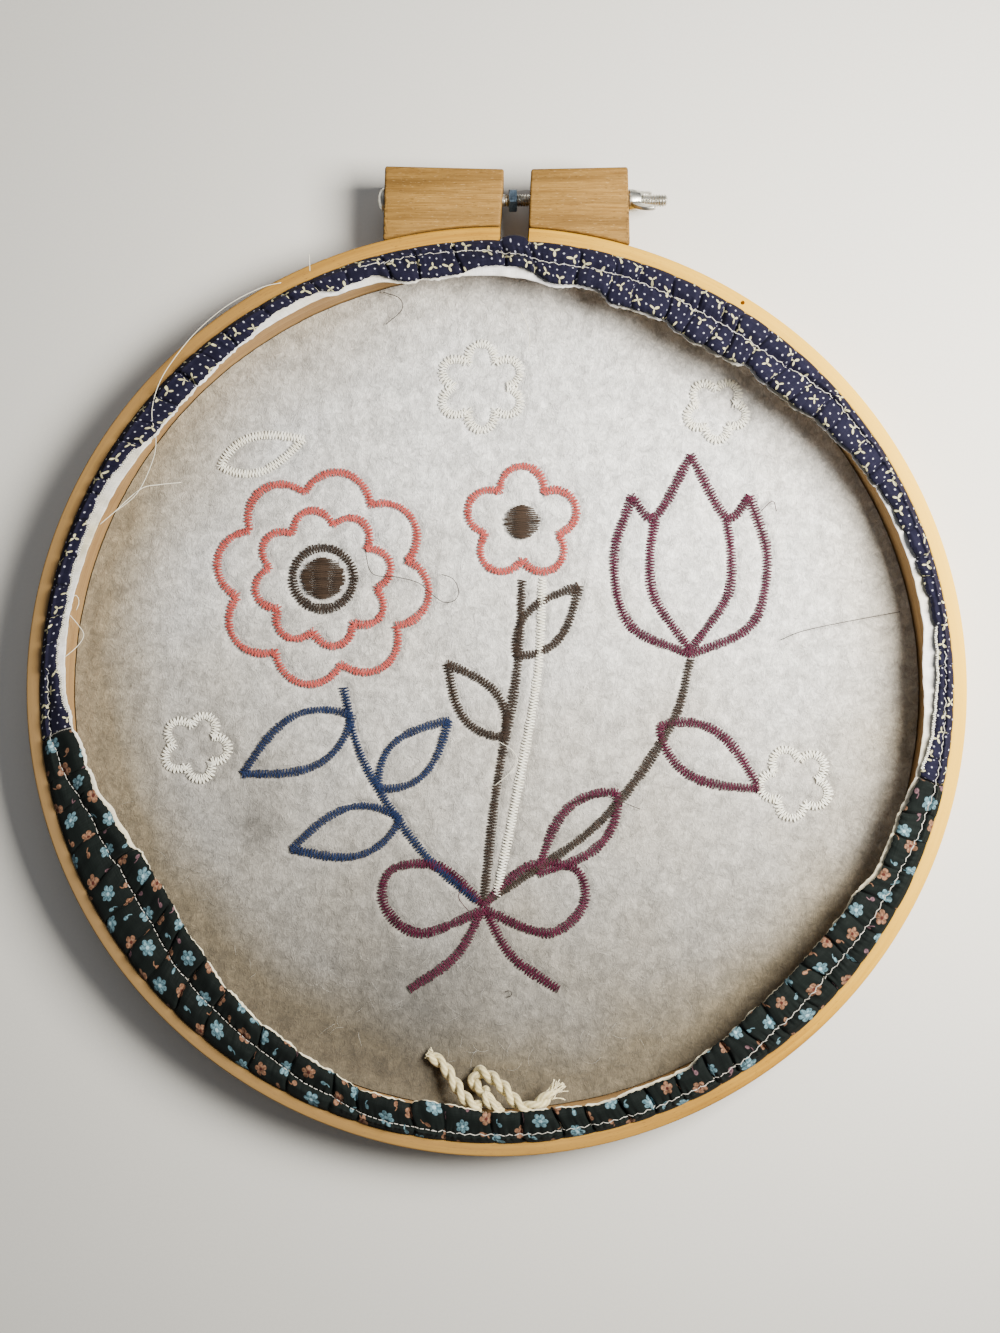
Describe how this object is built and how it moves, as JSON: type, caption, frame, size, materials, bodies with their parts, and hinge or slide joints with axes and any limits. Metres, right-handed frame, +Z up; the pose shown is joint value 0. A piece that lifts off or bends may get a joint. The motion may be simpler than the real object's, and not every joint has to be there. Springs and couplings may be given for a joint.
{
  "type": "embroidered cloth in wooden hoop",
  "caption": "Round wooden hoop lying face down, seen from its back: gathered print rim over the inner ring, batting with stitched outlines, knotted drawstring, blocks with screw and wing nut.",
  "frame": {"origin": "middle of the hoop, on the surface that its front cloth lies on", "axes": "+Z up, out of the open back; +Y towards the blocks; the screw runs along +X to its wing nut"},
  "size_m": [0.356, 0.3743, 0.0272],
  "materials": {
    "hoop_wood": "sanded, unvarnished",
    "block_wood": "open grain, unvarnished",
    "zinc_steel": "zinc plated",
    "plain_steel": "dull blue-grey",
    "navy_print": "printed cotton",
    "green_print": "printed cotton",
    "white_cotton": "plain weave",
    "batting": "non-woven, fuzzy",
    "cotton_string": "two-strand twist"
  },
  "bodies": {
    "hoop": {"outer_ring": "hoop_wood", "inner_ring": "hoop_wood", "block_left": "block_wood", "block_right": "block_wood", "bolt": "zinc_steel", "hex_nut": "plain_steel", "navy_cloth": "navy_print", "green_cloth": "green_print", "white_lining": "white_cotton", "batting_sheet": "batting", "drawstring_end": "cotton_string", "drawstring_loop": "cotton_string", "drawstring_knot": "cotton_string"},
    "wing_nut": {"wing_nut": "zinc_steel"}
  },
  "joints": [
    {"name": "wing_nut_turn", "type": "hinge", "parent": "hoop", "child": "wing_nut", "pos_m": [0.0508, 0.189, 0.0122], "axis": [1, 0, 0], "range_deg": [0, 270]}
  ]
}
